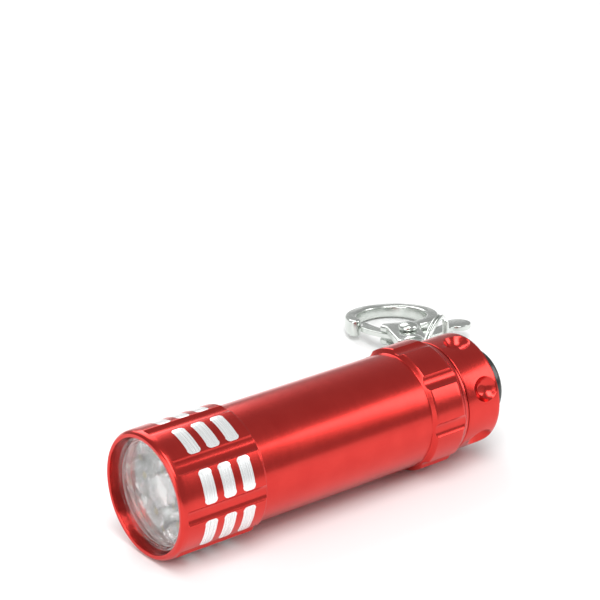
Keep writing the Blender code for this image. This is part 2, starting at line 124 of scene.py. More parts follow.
class Surface:
    """A Principled material that is being put together from nodes."""

    def __init__(self, name, roughness, metallic=0.0):
        self.material = bpy.data.materials.new(name)
        self.material.use_nodes = True
        self.nodes = self.material.node_tree.nodes
        self.links = self.material.node_tree.links
        self.shader = self.nodes["Principled BSDF"]
        self.shader.inputs["Roughness"].default_value = roughness
        self.shader.inputs["Metallic"].default_value = metallic
        self.place = self.nodes.new("ShaderNodeTexCoord").outputs["Object"]

    def noise(self, scale, stretch=(1, 1, 1), detail=3.0, roughness=0.55):
        """Noise in the row frame. stretch multiplies the scale along each axis."""
        mapping = self.nodes.new("ShaderNodeMapping")
        mapping.inputs["Scale"].default_value = stretch
        self.links.new(self.place, mapping.inputs["Vector"])
        noise = self.nodes.new("ShaderNodeTexNoise")
        noise.inputs["Scale"].default_value = scale
        noise.inputs["Detail"].default_value = detail
        noise.inputs["Roughness"].default_value = roughness
        self.links.new(mapping.outputs["Vector"], noise.inputs["Vector"])
        return noise.outputs["Fac"]

    def ramp(self, value, low, high, start=0.3, end=0.7):
        """value from start to end becomes low to high, on numbers."""
        node = self.nodes.new("ShaderNodeMapRange")
        node.inputs["From Min"].default_value = start
        node.inputs["From Max"].default_value = end
        node.inputs["To Min"].default_value = low
        node.inputs["To Max"].default_value = high
        self.links.new(value, node.inputs["Value"])
        return node.outputs["Result"]

    def colours(self, value, dark, light, start=0.35, end=0.65):
        """value from start to end fades the base colour from dark to light."""
        node = self.nodes.new("ShaderNodeValToRGB")
        node.color_ramp.elements[0].position = start
        node.color_ramp.elements[0].color = (*dark, 1)
        node.color_ramp.elements[1].position = end
        node.color_ramp.elements[1].color = (*light, 1)
        self.links.new(value, node.inputs["Fac"])
        self.links.new(node.outputs["Color"], self.shader.inputs["Base Color"])

    def vary_roughness(self, value, low, high):
        self.links.new(self.ramp(value, low, high), self.shader.inputs["Roughness"])

    def bump(self, height, distance, strength=1.0, below=None):
        """Bump by height, over the bump below it. Returns the normal for the next one."""
        node = self.nodes.new("ShaderNodeBump")
        node.inputs["Strength"].default_value = strength
        node.inputs["Distance"].default_value = distance
        self.links.new(height, node.inputs["Height"])
        if below:
            self.links.new(below, node.inputs["Normal"])
        self.links.new(node.outputs["Normal"], self.shader.inputs["Normal"])
        return node.outputs["Normal"]

    def set(self, **values):
        """Sets sockets by name, with an underscore for each space."""
        for socket, value in values.items():
            self.shader.inputs[socket.replace("_", " ")].default_value = value
        return self


def anodised_red():
    """Bead-smooth red anodising over fine turning lines, with a little cloudiness."""
    surface = Surface("anodised_red", 0.24, 1.0).set(Coat_Weight=0.07, Coat_Roughness=0.08)
    cloud = surface.noise(260, detail=4)
    surface.colours(cloud, (0.62, 0.042, 0.036), (0.67, 0.05, 0.042), 0.3, 0.7)
    lines = surface.noise(55, (240, 1.5, 1.5), detail=5, roughness=0.7)
    surface.vary_roughness(lines, 0.19, 0.27)
    grain = surface.noise(9000, detail=1)
    fine_lines = surface.bump(lines, 0.0011 * MM)
    surface.bump(grain, 0.0006 * MM, 0.6, fine_lines)
    return surface.material


def bare_aluminium():
    """Turned bare metal where the anodising is cut away."""
    surface = Surface("bare_aluminium", 0.3, 0.6)
    lines = surface.noise(90, (260, 1.2, 1.2), detail=6, roughness=0.75)
    surface.colours(lines, (0.8, 0.82, 0.82), (0.92, 0.93, 0.93))
    surface.vary_roughness(lines, 0.2, 0.32)
    surface.bump(lines, 0.003 * MM)
    return surface.material


def chrome():
    """Bright plating over a die casting: slightly wavy, with faint handling marks."""
    surface = Surface("chrome", 0.16, 1.0)
    waves = surface.noise(420, detail=2)
    surface.colours(waves, (0.62, 0.655, 0.62), (0.7, 0.73, 0.695))
    marks = surface.noise(2600, (1, 1, 0.3), detail=5, roughness=0.7)
    surface.vary_roughness(marks, 0.15, 0.28)
    wavy = surface.bump(waves, 0.006 * MM, 0.6)
    surface.bump(marks, 0.0006 * MM, 0.6, wavy)
    return surface.material


def clear_acrylic():
    surface = Surface("clear_acrylic", 0.015).set(Transmission_Weight=1.0, IOR=1.47, Alpha=0.45)
    haze = surface.noise(900, detail=2)
    surface.colours(haze, (0.93, 0.96, 0.97), (1.0, 1.0, 1.0))
    surface.vary_roughness(haze, 0.01, 0.03)
    return surface.material


def led_epoxy():
    surface = Surface("led_epoxy", 0.05).set(Transmission_Weight=0.85, IOR=1.5, Alpha=0.75)
    haze = surface.noise(1200, detail=2)
    surface.colours(haze, (0.86, 0.89, 0.88), (0.97, 0.98, 0.97))
    surface.vary_roughness(haze, 0.04, 0.1)
    return surface.material


def metallised():
    """Vacuum-metallised plastic, with the soft orange peel of the moulding under it."""
    surface = Surface("metallised_plastic", 0.16, 1.0)
    peel = surface.noise(700, detail=3)
    surface.colours(peel, (0.86, 0.88, 0.87), (0.95, 0.96, 0.95))
    surface.vary_roughness(peel, 0.08, 0.2)
    surface.bump(peel, 0.02 * MM, 0.6)
    return surface.material


def rubber(name, dark, light, low, high, coat=0.0):
    surface = Surface(name, low).set(Coat_Weight=coat, Coat_Roughness=0.12)
    cloud = surface.noise(500, detail=4)
    surface.colours(cloud, dark, light)
    grain = surface.noise(5200, detail=3)
    surface.vary_roughness(grain, low, high)
    surface.bump(grain, 0.004 * MM, 0.7)
    return surface.material


def plain_metal(name, dark, light, roughness):
    surface = Surface(name, roughness, 1.0)
    marks = surface.noise(1500, (1, 1, 4), detail=4)
    surface.colours(marks, dark, light)
    surface.vary_roughness(marks, roughness * 0.8, roughness * 1.5)
    surface.bump(marks, 0.002 * MM, 0.6)
    return surface.material


def plain_plastic(name, dark, light, roughness):
    surface = Surface(name, roughness)
    grain = surface.noise(2400, detail=4)
    surface.colours(grain, dark, light)
    surface.vary_roughness(grain, roughness * 0.85, roughness * 1.2)
    surface.bump(grain, 0.006 * MM, 0.7)
    return surface.material


RED = anodised_red()
BARE = bare_aluminium()
CHROME = chrome()
CLEAR = clear_acrylic()
EPOXY = led_epoxy()
SILVER = metallised()
BUTTON = rubber("button_rubber", (0.006, 0.009, 0.008), (0.014, 0.02, 0.018), 0.24, 0.36, 0.35)
SEAL = rubber("seal_rubber", (0.008, 0.008, 0.008), (0.018, 0.018, 0.018), 0.4, 0.6)
SILICONE = rubber("clear_silicone", (0.62, 0.64, 0.62), (0.74, 0.76, 0.74), 0.3, 0.45, 0.2)
BLACK = plain_plastic("black_plastic", (0.014, 0.014, 0.015), (0.026, 0.026, 0.027), 0.45)
BOARD = plain_plastic("board_mask", (0.012, 0.09, 0.04), (0.03, 0.16, 0.07), 0.35)
DIE = plain_plastic("led_phosphor", (0.8, 0.66, 0.12), (0.92, 0.8, 0.25), 0.5)
SPRING = plain_metal("spring_wire", (0.5, 0.5, 0.5), (0.68, 0.68, 0.67), 0.22)
CELL = plain_metal("cell_can", (0.62, 0.62, 0.6), (0.76, 0.76, 0.74), 0.28)
BRASS = plain_metal("turned_brass", (0.62, 0.42, 0.16), (0.8, 0.6, 0.28), 0.26)


# ---------------------------------------------------------------- mesh tools


def link(name, bm, material, smooth_angle=32):
    """Links bm as a shaded object in the row frame."""
    bmesh.ops.recalc_face_normals(bm, faces=bm.faces)
    mesh = bpy.data.meshes.new(name)
    bm.to_mesh(mesh)
    bm.free()
    mesh.shade_smooth()
    mesh.set_sharp_from_angle(angle=math.radians(smooth_angle))
    mesh.materials.append(material)
    obj = bpy.data.objects.new(name, mesh)
    bpy.context.scene.collection.objects.link(obj)
    return obj


def stand_for(obj, body, slot, *nodes):
    """Lets obj ride on body, in place of the CAD nodes if any are given. slot is not used."""
    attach(obj, body)
    if nodes:
        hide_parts(*nodes)
    return obj


def fillet(points, steps=4):
    """Rounds the corners of an open outline. A point is (x, y) or (x, y, how far its corner is cut back)."""
    made = []
    for i, point in enumerate(points):
        cut = point[2] if len(point) > 2 else 0
        corner = Vector(point[:2])
        if not cut or i in (0, len(points) - 1):
            made.append(tuple(corner))
            continue
        back = Vector(points[i - 1][:2]) - corner
        ahead = Vector(points[i + 1][:2]) - corner
        before = corner + back.normalized() * min(cut, 0.47 * back.length)
        after = corner + ahead.normalized() * min(cut, 0.47 * ahead.length)
        for step in range(steps + 1):
            t = step / steps
            made.append(tuple(before * (1 - t) ** 2 + corner * 2 * t * (1 - t) + after * t**2))
    return made


def turned(bm, profile, segments, place=None):
    """Spins the (x, radius) profile about X. It closes through the axis if both its ends are on it."""
    before = set(bm.verts)
    verts = [bm.verts.new((x, 0, r)) for x, r in profile]
    edges = [bm.edges.new(pair) for pair in zip(verts, verts[1:])]
    if profile[0][1] > 0:
        edges.append(bm.edges.new((verts[-1], verts[0])))
    bmesh.ops.spin(
        bm, geom=verts + edges, cent=(0, 0, 0), axis=(1, 0, 0), angle=math.tau, steps=segments
    )
    made = [v for v in bm.verts if v not in before]
    bmesh.ops.remove_doubles(bm, verts=made, dist=0.002 * MM)
    if place:
        bmesh.ops.transform(bm, matrix=place, verts=[v for v in bm.verts if v not in before])


def turned_piece(name, profile, material, segments=128, place=None, smooth_angle=32):
    bm = bmesh.new()
    turned(bm, fillet(profile), segments, place)
    return link(name, bm, material, smooth_angle)


def grid_faces(bm, rows, closed_rows):
    """Joins rows of equally many points, each a closed loop, into a skin."""
    count = len(rows[0])
    pairs = list(zip(rows, rows[1:])) + ([(rows[-1], rows[0])] if closed_rows else [])
    for low, high in pairs:
        for i in range(count):
            j = (i + 1) % count
            bm.faces.new((low[i], low[j], high[j], high[i]))


def apply_all(obj):
    """Turns an object's modifiers into its mesh."""
    graph = bpy.context.evaluated_depsgraph_get()
    mesh = bpy.data.meshes.new_from_object(obj.evaluated_get(graph))
    obj.modifiers.clear()
    obj.data = mesh
    return obj


def boolean(obj, other, operation="DIFFERENCE"):
    modifier = obj.modifiers.new(other.name, "BOOLEAN")
    modifier.operation = operation
    modifier.object = other
    apply_all(obj)
    bpy.data.objects.remove(other)


def shade(obj, angle=32):
    obj.data.shade_smooth()
    obj.data.set_sharp_from_angle(angle=math.radians(angle))


def on_circle(x, radius, angle):
    """A point at x on a circle round the X axis."""
    return (x, radius * math.cos(angle), radius * math.sin(angle))


def around(angle):
    return Matrix.Rotation(angle, 4, "X")


def arc(centre, radius, first, last, steps):
    """Points on a circle in local X and Y, with angles in degrees from +X towards +Y."""
    points = []
    for i in range(steps + 1):
        angle = math.radians(first + (last - first) * i / steps)
        points.append((centre[0] + radius * math.cos(angle), centre[1] + radius * math.sin(angle)))
    return points


def sweep(bm, path, sections, closed):
    """Skins sections, each a list of (sideways, up) offsets, along a path of (point, side, up)."""
    rows = []
    for (point, side, up), section in zip(path, sections):
        rows.append([bm.verts.new(point + side * a + up * b) for a, b in section])
    grid_faces(bm, rows, closed)
    if not closed:
        bm.faces.new(rows[0])
        bm.faces.new(rows[-1])


def circle(radius, steps):
    turn = math.tau / steps
    return [(radius * math.cos(i * turn), radius * math.sin(i * turn)) for i in range(steps)]


# ---------------------------------------------------------------- body tube


def soft_min(a, b, width):
    """The smaller of two numbers, with the corner between them rounded over width."""
    share = max(0.0, min(1.0, 0.5 + 0.5 * (b - a) / width))
    return b * (1 - share) + a * share - width * share * (1 - share)


def flute_floor(turn_from_flute):
    """Radius of the flute's surface at this angle from its middle."""
    floor_r = HEAD_R - FLUTE_DEPTH
    half_width = HEAD_R * math.sin(FLUTE_HALF_ANGLE)
    rise = HEAD_R * math.cos(FLUTE_HALF_ANGLE) - floor_r
    cutter_r = (rise**2 + half_width**2) / (2 * rise)
    middle = floor_r + cutter_r
    sideways = middle * math.sin(turn_from_flute)
    if abs(sideways) >= cutter_r:
        return middle
    return middle * math.cos(turn_from_flute) - math.sqrt(cutter_r**2 - sideways**2)


def between(points, x):
    """The outline's radius at x."""
    for (x0, r0), (x1, r1) in zip(points, points[1:]):
        if x0 <= x <= x1:
            return r0 if x1 == x0 else r0 + (r1 - r0) * (x - x0) / (x1 - x0)
    return points[-1][1]


def flute_angles():
    """Angles round the tube, close together where a flute's edges are."""
    half = [0, 1.2, 2.4, 3.6, 4.8, 5.7, 6.3, 6.7, 6.9, 7.1, 7.3, 7.7, 8.4, 10, 12.5, 15, 17.5, 20]
    offsets = [-a for a in reversed(half[1:])] + half + [22.5]
    return [math.radians(45 * i + offset) for i in range(FLUTES) for offset in offsets]


def make_body_tube():
    length = TUBE_END - FRONT
    collar = length - COLLAR_LENGTH
    outline = fillet(
        [
            (0.0, HEAD_R - 0.62 * MM),
            (0.0005 * MM, HEAD_R - 0.5 * MM, 0.08 * MM),
            (0.42 * MM, HEAD_R - 0.12 * MM, 0.2 * MM),
            (1.2 * MM, HEAD_R, 0.3 * MM),
            (HEAD_LENGTH - 0.55 * MM, HEAD_R, 0.22 * MM),
            (HEAD_LENGTH, BARREL_R, 0.12 * MM),
            (collar, BARREL_R, 0.1 * MM),
            (collar + 0.5 * MM, HEAD_R, 0.2 * MM),
            (length - 1.75 * MM, HEAD_R, 0.3 * MM),
            (length - 0.5 * MM, HEAD_R - 0.95 * MM, 0.3 * MM),
            (length, HEAD_R - 1.0 * MM),
        ]
    )
    places = {round(x, 8) for x, r in outline}
    for start, end in FINE_SPANS:
        count = int((end - start) * MM / FINE_STEP)
        places |= {round(start * MM + i * FINE_STEP, 8) for i in range(count + 1)}
    for i in range(1, COARSE_STEPS):
        places.add(round(length * i / COARSE_STEPS, 8))
    places = sorted(x for x in places if x <= length)
    fluted = ((1.0 * MM, HEAD_LENGTH + 1 * MM), (collar - 1 * MM, length + 1 * MM))
    angles = flute_angles()
    bm = bmesh.new()
    rows = []
    for x in places:
        base = between(outline, x)
        row = []
        for angle in angles:
            turn = (angle + FLUTE_PITCH / 2) % FLUTE_PITCH - FLUTE_PITCH / 2
            radius = base
            for start, end in fluted:
                ramp = max(0.0, min(1.0, (x - start) / FLUTE_RUN_IN))
                if ramp > 0 and x < end:
                    lift = (1 - ramp) ** 2 * FLUTE_DEPTH * 1.6
                    radius = soft_min(base, flute_floor(turn) + lift, FLUTE_EDGE)
            row.append(bm.verts.new(on_circle(FRONT + x, radius, angle)))
        rows.append(row)
    inside = [
        (length, 9.15 * MM),
        (length - 0.15 * MM, 9.0 * MM),
        (53.0 * MM, 9.0 * MM),
        (53.0 * MM, 8.7 * MM),
        (12.5 * MM, 8.7 * MM),
        (12.5 * MM, RECESS_R),
        (1.1 * MM, RECESS_R),
        (0.16 * MM, RECESS_R),
        (0.04 * MM, RECESS_R + 0.05 * MM),
        (0.0, RECESS_R + 0.16 * MM),
    ]
    for x, radius in inside:
        rows.append([bm.verts.new(on_circle(FRONT + x, radius, angle)) for angle in angles])
    grid_faces(bm, rows, True)
    stand_for(link("body_shell", bm, RED), "root", "anodised_red", "body_tube")


def make_bars():
    """Bare bars across each land, in three rows: curved plates with round corners and soft edges."""
    bm = bmesh.new()
    half_long = HEAD_R * BAR_HALF_ANGLE
    half_wide = BAR_WIDTH / 2
    outline = []
    for cx, cy, first in ((1, 1, 0), (-1, 1, 90), (-1, -1, 180), (1, -1, 270)):
        centre = (cx * (half_wide - BAR_CORNER), cy * (half_long - BAR_CORNER))
        outline += arc(centre, BAR_CORNER, first, first + 90, 6)
    for land in range(FLUTES):
        middle = (land + 0.5) * FLUTE_PITCH
        for bar in BAR_CENTRES:
            rings = []
            for shrink, height in ((1.0, -BAR_SINK), (1.0, BAR_PROUD * 0.2), (0.97, BAR_PROUD)):
                ring = []
                for x, y in outline:
                    angle = middle + y * shrink / HEAD_R
                    px = FRONT + bar + x * (1 - (1 - shrink) * half_long / half_wide)
                    ring.append(bm.verts.new(on_circle(px, HEAD_R + height, angle)))
                rings.append(ring)
            grid_faces(bm, rings, False)
            bm.faces.new(rings[0])
            # The top is cut into slices, and each cut is lifted to the plate's radius.
            top_faces = [bm.faces.new(rings[-1])]
            for step in range(1, BAR_SLICES):
                y = half_long * (2 * step / BAR_SLICES - 1)
                angle = middle + y / HEAD_R
                normal = Vector((0, -math.sin(angle), math.cos(angle)))
                geom = {f for f in top_faces if f.is_valid}
                geom |= {e for f in geom for e in f.edges} | {v for f in geom for v in f.verts}
                cut = bmesh.ops.bisect_plane(bm, geom=list(geom), plane_co=(0, 0, 0), plane_no=normal)
                top_faces = [f for f in cut["geom"] if isinstance(f, bmesh.types.BMFace)]
                for v in (v for v in cut["geom_cut"] if isinstance(v, bmesh.types.BMVert)):
                    out = math.hypot(v.co.y, v.co.z)
                    v.co.y *= (HEAD_R + BAR_PROUD) / out
                    v.co.z *= (HEAD_R + BAR_PROUD) / out
    stand_for(link("bare_bars", bm, BARE, 40), "root", "anodised_red")


# ---------------------------------------------------------------- light engine


CUP_SPOKES = 240
CUP_RINGS = 58
CUP_FLOOR_R = 2.6 * MM
CUP_WALL_SLOPE = 5.4
LED_R = 2.5 * MM
LED_FLANGE_R = LED_R + 0.25 * MM
LED_FLANGE_THICK = 0.6 * MM
DOME_STEPS = 12


def make_lens():
    low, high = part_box("lens")
    radius = high.y
    step = 0.75 * MM
    profile = [
        (low.x, 0),
        (low.x, radius - step - 0.3 * MM, 0.12 * MM),
        (low.x + 0.4 * MM, radius - step - 0.12 * MM, 0.12 * MM),
        (low.x + 0.4 * MM, radius - step + 0.12 * MM, 0.12 * MM),
        (low.x, radius - step + 0.3 * MM, 0.12 * MM),
        (low.x, radius, 0.16 * MM),
        (high.x, radius, 0.1 * MM),
        (high.x, 0),
    ]
    stand_for(turned_piece("lens_window", profile, CLEAR, 160), "root", "clear_lens", "lens")


def led_centres():
    """Each LED's middle, lowest and highest corner."""
    centres = []
    for i in range(6):
        low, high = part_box(f"led_{i + 1}")
        centres.append(((low + high) / 2, low, high))
    return centres


def make_reflector():
    """A disc with a cone-walled cup round each LED. Cups meet in ridges that run from the middle."""
    low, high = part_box("reflector")
    outer = high.y
    face = low.x + 0.3 * MM
    deep = high.x - 1.0 * MM
    centres = [centre for centre, _, _ in led_centres()]
    turns = [math.tau * i / CUP_SPOKES for i in range(CUP_SPOKES)]
    reaches = [outer * i / CUP_RINGS for i in range(1, CUP_RINGS - 1)]
    bm = bmesh.new()
    middle = bm.verts.new((face + 0.1 * MM, 0, 0))
    rows = []
    for reach in reaches:
        row = []
        for angle in turns:
            y, z = reach * math.cos(angle), reach * math.sin(angle)
            near = min(math.hypot(y - c.y, z - c.z) for c in centres)
            wall = deep - (near - CUP_FLOOR_R) * CUP_WALL_SLOPE
            x = max(face, min(deep, wall))
            row.append(bm.verts.new((x, y, z)))
        rows.append(row)
    rim = ((low.x, outer - 0.25 * MM), (low.x, outer), (high.x, outer), (high.x, 0.5 * outer))
    for x, radius in rim:
        rows.append([bm.verts.new(on_circle(x, radius, angle)) for angle in turns])
    grid_faces(bm, rows, False)
    for i in range(CUP_SPOKES):
        bm.faces.new((middle, rows[0][i], rows[0][(i + 1) % CUP_SPOKES]))
    bm.faces.new(rows[-1])
    stand_for(link("reflector_cups", bm, SILVER, 50), "root", "reflector_silver", "reflector")


def make_leds():
    """Domed lamps, each with its stamped cup and phosphor inside."""
    for i, (centre, low, high) in enumerate(led_centres()):
        length = high.x - low.x
        turns = [k * math.pi / (2 * DOME_STEPS) for k in range(DOME_STEPS + 1)]
        dome = [(LED_R * (1 - math.cos(turn)), LED_R * math.sin(turn)) for turn in turns]
        profile = dome + [
            (length - LED_FLANGE_THICK, LED_R),
            (length - LED_FLANGE_THICK, LED_FLANGE_R, 0.1 * MM),
            (length, LED_FLANGE_R),
            (length, 0),
        ]
        place = Matrix.Translation((low.x, centre.y, centre.z))
        lamp = turned_piece(f"led_lamp_{i + 1}", profile, EPOXY, 48, place)
        stand_for(lamp, "root", "led_clear", f"led_{i + 1}")
        cup = [
            (2.3 * MM, 0),
            (2.3 * MM, 0.35 * MM),
            (1.75 * MM, 0.85 * MM),
            (1.75 * MM, 1.0 * MM),
            (3.9 * MM, 0.95 * MM, 0.1 * MM),
            (3.9 * MM, 0),
        ]
        stand_for(turned_piece(f"led_cup_{i + 1}", cup, SPRING, 32, place), "root", "spring_steel")
        die = [(2.02 * MM, 0), (2.06 * MM, 0.32 * MM, 0.05 * MM), (2.24 * MM, 0.42 * MM), (2.24 * MM, 0)]
        stand_for(turned_piece(f"led_die_{i + 1}", die, DIE, 24, place), "root", "led_clear")


# ---------------------------------------------------------------- tail cap and button


def make_tail_cap():
    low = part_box("tail_cap")[0]
    seat = 63.8 * MM + FRONT
    inner_r = 7.6 * MM
    bore = 6.7 * MM
    spigot_r = 8.8 * MM
    groove_start, groove_end, groove_r = 59.05 * MM + FRONT, 60.15 * MM + FRONT, 8.1 * MM
    profile = [
        (low.x, inner_r),
        (seat, inner_r),
        (seat, bore),
        (CAP_END - 0.01 * MM, bore, 0.18 * MM),
        (CAP_END, bore + 0.2 * MM, 0.05 * MM),
        (CAP_END, CAP_R - 0.05 * MM, 0.85 * MM),
        (CAP_END - 0.9 * MM, CAP_R, 0.1 * MM),
        (SEAM + 0.12 * MM, CAP_R, 0.08 * MM),
        (SEAM, CAP_R - 0.14 * MM, 0.05 * MM),
        (SEAM, spigot_r),
        (groove_end, spigot_r),
        (groove_end, groove_r),
        (groove_start, groove_r),
        (groove_start, spigot_r),
        (low.x, spigot_r),
    ]
    cap = turned_piece("cap_shell", profile, RED, 192)
    depth = 1.35 * MM
    floor = 0.9 * MM
    rim = 2.42 * MM
    cutter = bmesh.new()
    for i in range(DIMPLES):
        place = around(DIMPLE_FIRST_ANGLE + i * math.tau / DIMPLES)
        place = place @ Matrix.Translation((DIMPLE_PLACE, CAP_R - depth, 0))
        place = place @ Matrix.Rotation(math.pi / 2, 4, "Z")
        wall = [(0, 0), (0, floor, 0.3 * MM), (0.5 * MM, 1.7 * MM, 0.5 * MM)]
        wall += [(depth - 0.12 * MM, rim - 0.08 * MM, 0.1 * MM), (depth + 0.6 * MM, rim + 1.3 * MM)]
        wall += [(depth + 0.6 * MM, 0)]
        turned(cutter, fillet(wall), 64, place)
    boolean(cap, link("dimple_shapes", cutter, RED))
    pivot = Vector(JOINTS["ring_swing"]["pos_m"])
    along = Vector(JOINTS["ring_swing"]["axis"])
    turn = along.to_track_quat("X", "Z").to_matrix().to_4x4()
    half_length, hole_r = 6.4 * MM, 1.3 * MM
    hole = [(-half_length, 0), (-half_length, hole_r), (half_length, hole_r), (half_length, 0)]
    boolean(cap, turned_piece("ring_hole_shape", hole, RED, 48, Matrix.Translation(pivot) @ turn))
    shade(cap, 28)
    stand_for(cap, "tail_cap", "anodised_red", "tail_cap")


def make_button():
    low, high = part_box("push_button")
    radius = 6.35 * MM
    flange_r, flange_thick = 7.2 * MM, 0.8 * MM
    crown = 0.35 * MM
    profile = [
        (low.x, 0),
        (low.x, flange_r, 0.1 * MM),
        (low.x + flange_thick, flange_r, 0.1 * MM),
        (low.x + flange_thick, radius),
        (high.x - 0.9 * MM, radius - 0.03 * MM, 0.2 * MM),
        (high.x - crown, radius - 0.3 * MM, 0.5 * MM),
        (high.x - crown * 0.55, radius * 0.72, 0.6 * MM),
        (high.x - crown * 0.12, radius * 0.32, 0.6 * MM),
        (high.x, 0),
    ]
    cover = turned_piece("button_cover", profile, BUTTON, smooth_angle=45)
    stand_for(cover, "button", "button_rubber", "push_button")


# ---------------------------------------------------------------- split ring


def make_key_ring():
    """Nearly two turns of flattened wire, side by side, with their free ends a little way apart."""
    pivot = Vector(JOINTS["ring_swing"]["pos_m"])
    up = Vector(JOINTS["ring_swing"]["axis"]).normalized()
    low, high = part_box("key_ring")
    centre = (low + high) / 2
    out = (centre - pivot - up * (centre - pivot).dot(up)).normalized()
    centre = pivot + out * (6.6 * MM)
    side = out.cross(up).normalized()
    radius = 7.0 * MM
    half_thick = 0.47 * MM
    half_wide = 0.275 * MM
    half_apart = 0.29 * MM
    turns = 1.94
    crossing_rate = 9
    taper_rate, tip_share = 40, 0.35
    roundness = 0.7
    steps, corners = 300, 12
    first = math.radians(62)
    bm = bmesh.new()
    path, sections = [], []
    for i in range(steps + 1):
        share = i / steps
        angle = first + math.tau * turns * share
        outward = out * math.cos(angle) + up * math.sin(angle)
        # Each turn lies flat on its own side, and crosses over within a short stretch.
        cross = max(-1.0, min(1.0, (share - 0.5) * turns * crossing_rate))
        shift = half_apart * math.sin(cross * math.pi / 2)
        path.append((centre + outward * radius + side * shift, outward, side))
        taper = min(1.0, share * taper_rate + tip_share, (1 - share) * taper_rate + tip_share)
        section = []
        for k in range(corners):
            turn = math.tau * k / corners
            a = half_thick * abs(math.cos(turn)) ** roundness * math.copysign(1, math.cos(turn))
            b = half_wide * abs(math.sin(turn)) ** roundness * math.copysign(1, math.sin(turn))
            section.append((a * taper, b))
        sections.append(section)
    sweep(bm, path, sections, False)
    stand_for(link("split_ring", bm, CHROME, 50), "key_ring", "chrome", "key_ring")


# ---------------------------------------------------------------- swivel and clasp


def clasp_frame():
    """Origin where the eye bears on the ring, +X along the clasp, +Z out of its face."""
    bearing = Vector(JOINTS["clasp_spin"]["pos_m"])
    along = Vector(JOINTS["clasp_spin"]["axis"]).normalized()
    face = Vector(JOINTS["gate_open"]["axis"]).normalized()
    left = face.cross(along)
    turn = Matrix((along, left, face)).transposed().to_4x4()
    return Matrix.Translation(bearing) @ turn


def bow_roll(frame):
    """How far the eye is turned about its length, so that the ring's wire passes squarely through its bow."""
    wire = frame.inverted().to_3x3() @ Vector(JOINTS["eye_swing"]["axis"])
    return Matrix.Rotation(math.atan2(-wire.y, wire.z), 4, "X")


CLASP_START = 15.9 * MM
BEARING_FRAME = clasp_frame()
EYE_FRAME = BEARING_FRAME @ bow_roll(BEARING_FRAME)
CLASP_FRAME = BEARING_FRAME @ Matrix.Translation((CLASP_START, 0, 0))
PIVOT = CLASP_FRAME.inverted() @ Vector(JOINTS["gate_open"]["pos_m"])
PIN_PLACE = Matrix.Translation(PIVOT) @ Matrix.Rotation(-math.pi / 2, 4, "Y")
PIN_BORE_R = 0.95 * MM


def placed(obj, matrix):
    obj.data.transform(matrix)
    return obj


def make_swivel_eye():
    """A bow of round wire whose straps run down the sides of a bored collar."""
    half_width = 2.95 * MM
    wire_r = 0.75 * MM
    bow_top = -1.95 * MM
    collar_low, collar_high, collar_r = 13.4 * MM, 15.58 * MM, 2.98 * MM
    line = [(x, half_width) for x in (collar_high, 11.0 * MM, 5.0 * MM)]
    line += arc((bow_top + half_width, 0), half_width, 90, 270, 36)
    line += [(x, -half_width) for x in (5.0 * MM, 11.0 * MM, collar_high)]
    bm = bmesh.new()
    path, sections = [], []
    for i, (x, y) in enumerate(line):
        x0, y0 = line[max(0, i - 1)]
        x1, y1 = line[min(len(line) - 1, i + 1)]
        ahead = Vector((x1 - x0, y1 - y0, 0)).normalized()
        path.append((Vector((x, y, 0)), Vector((-ahead.y, ahead.x, 0)), Vector((0, 0, 1))))
        sections.append(circle(wire_r, 24))
    sweep(bm, path, sections, False)
    bow = link("bow_shape", bm, CHROME)
    collar = [
        (collar_low, 1.5 * MM, 0.1 * MM),
        (collar_low, collar_r, 0.25 * MM),
        (collar_high, collar_r, 0.25 * MM),
        (collar_high, 1.45 * MM, 0.15 * MM),
        (collar_low, 1.46 * MM),
    ]
    eye = turned_piece("swivel_bow", collar, CHROME, 96)
    boolean(eye, bow, "UNION")
    shade(eye, 35)
    stand_for(placed(eye, EYE_FRAME), "swivel_eye", "chrome", "swivel_eye")


def make_rivet():
    """A domed rivet that holds the clasp in the swivel's collar."""
    top = 13.2 * MM - CLASP_START
    head_r, shank_r, end = 1.95 * MM, 1.15 * MM, -0.05 * MM
    profile = [
        (top - 1.5 * MM, 0),
        (top - 1.45 * MM, 0.8 * MM, 0.3 * MM),
        (top - 1.1 * MM, 1.5 * MM, 0.3 * MM),
        (top - 0.55 * MM, head_r, 0.2 * MM),
        (top, head_r, 0.12 * MM),
        (top, shank_r),
        (end, shank_r),
        (end, 0),
    ]
    rivet = turned_piece("swivel_pin", profile, CHROME, 64)
    stand_for(placed(rivet, CLASP_FRAME), "clasp", "chrome", "swivel_rivet")


def slab(name, outline, half_thick, slope, bevel, segments):
    """A flat outline made solid, half_thick + slope * x to each side, with its rims rounded."""
    bm = bmesh.new()
    low = [bm.verts.new((x, y, -(half_thick + slope * x))) for x, y in outline]
    high = [bm.verts.new((x, y, half_thick + slope * x)) for x, y in outline]
    bm.faces.new(low)
    bm.faces.new(high)
    for i in range(len(outline)):
        j = (i + 1) % len(outline)
        bm.faces.new((low[i], low[j], high[j], high[i]))
    obj = link(name, bm, CHROME)
    if bevel:
        modifier = obj.modifiers.new("round", "BEVEL")
        modifier.width = bevel
        modifier.segments = segments
        modifier.limit_method = "ANGLE"
        modifier.angle_limit = math.radians(40)
        apply_all(obj)
    return obj


def pin_bore(name, reach):
    """The gate pin's hole as a solid to cut with, reach to each side of the clasp's middle."""
    bore = [(-reach, 0), (-reach, PIN_BORE_R), (reach, PIN_BORE_R), (reach, 0)]
    return turned_piece(name, bore, CHROME, 40, PIN_PLACE)


